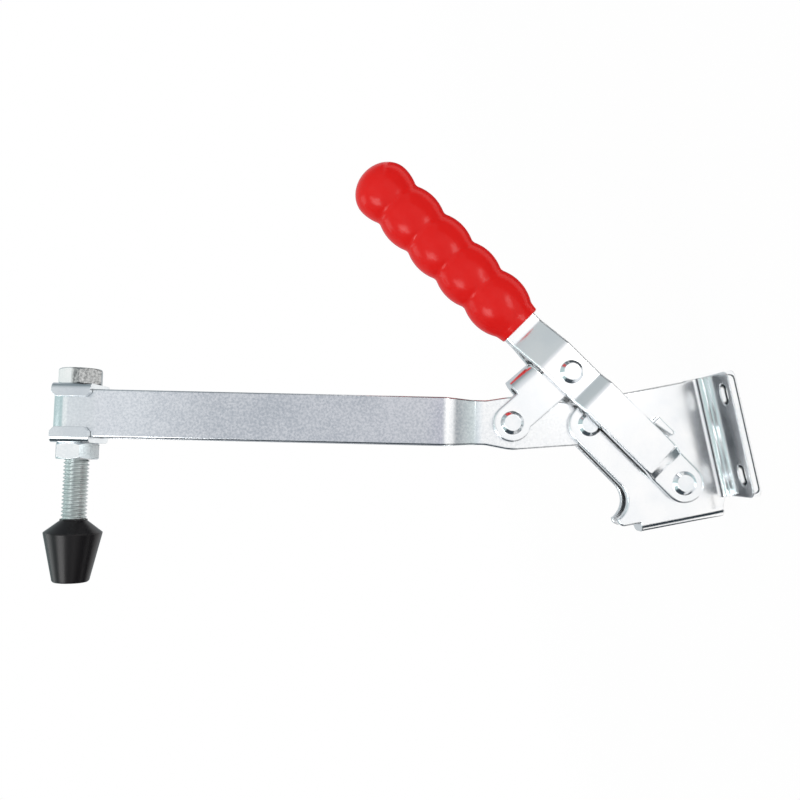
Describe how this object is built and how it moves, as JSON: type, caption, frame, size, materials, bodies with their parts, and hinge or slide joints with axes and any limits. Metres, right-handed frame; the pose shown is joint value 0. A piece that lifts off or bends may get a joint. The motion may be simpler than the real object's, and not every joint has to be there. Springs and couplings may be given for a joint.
{
  "type": "toggle clamp",
  "caption": "Vertical-handle toggle clamp with folded flange base, long U-bar arm, rubber-tipped spindle and a lobed vinyl grip, shown open.",
  "frame": {"origin": "centre of the four base slots, on the mounting face", "axes": "+Z out of the mounting face, +X the way the closed arm points, +Y to the left of the closed arm"},
  "size_m": [0.1682, 0.06, 0.2735],
  "materials": {
    "zinc_steel": "satin",
    "rivet_steel": "polished",
    "red_vinyl": "gloss",
    "black_rubber": "satin"
  },
  "bodies": {
    "base": {"base": "zinc_steel", "rivet_arm_to_base": "rivet_steel", "handle_pivot_pin": "rivet_steel", "bush_in_base": "rivet_steel"},
    "arm": {"arm": "zinc_steel", "rivet_arm_to_link": "rivet_steel"},
    "link": {"link": "zinc_steel", "bush_in_link": "rivet_steel"},
    "handle": {"handle_plate_left": "zinc_steel", "handle_plate_right": "zinc_steel", "grip": "red_vinyl", "rivet_link_to_handle": "rivet_steel", "handle_stud_left": "rivet_steel", "handle_stud_right": "rivet_steel"},
    "spindle": {"spindle_bolt": "zinc_steel", "spindle_nut": "zinc_steel", "washer_upper": "zinc_steel", "washer_lower": "zinc_steel", "rubber_tip": "black_rubber"}
  },
  "joints": [
    {"name": "arm_pivot", "type": "hinge", "parent": "base", "child": "arm", "pos_m": [-0.014, 0, 0.051], "axis": [0, 1, 0], "range_deg": [0, 102.2]},
    {"name": "link_pivot", "type": "hinge", "parent": "arm", "child": "link", "pos_m": [-0.02051, 0, 0.0811], "axis": [0, 1, 0], "range_deg": [0, 50.28]},
    {"name": "handle_pivot", "type": "hinge", "parent": "link", "child": "handle", "pos_m": [-0.03579, 0, 0.05436], "axis": [0, -1, 0], "range_deg": [0, 94.03]},
    {"name": "spindle_slide", "type": "slide", "parent": "arm", "child": "spindle", "axis": [-0.2113, 0, 0.9774], "range_m": [-0.13, 0]}
  ],
  "couplings": [
    {"joint": "link_pivot", "follows": "arm_pivot", "ratio": 0.49184},
    {"joint": "handle_pivot", "follows": "arm_pivot", "ratio": 0.91994}
  ]
}
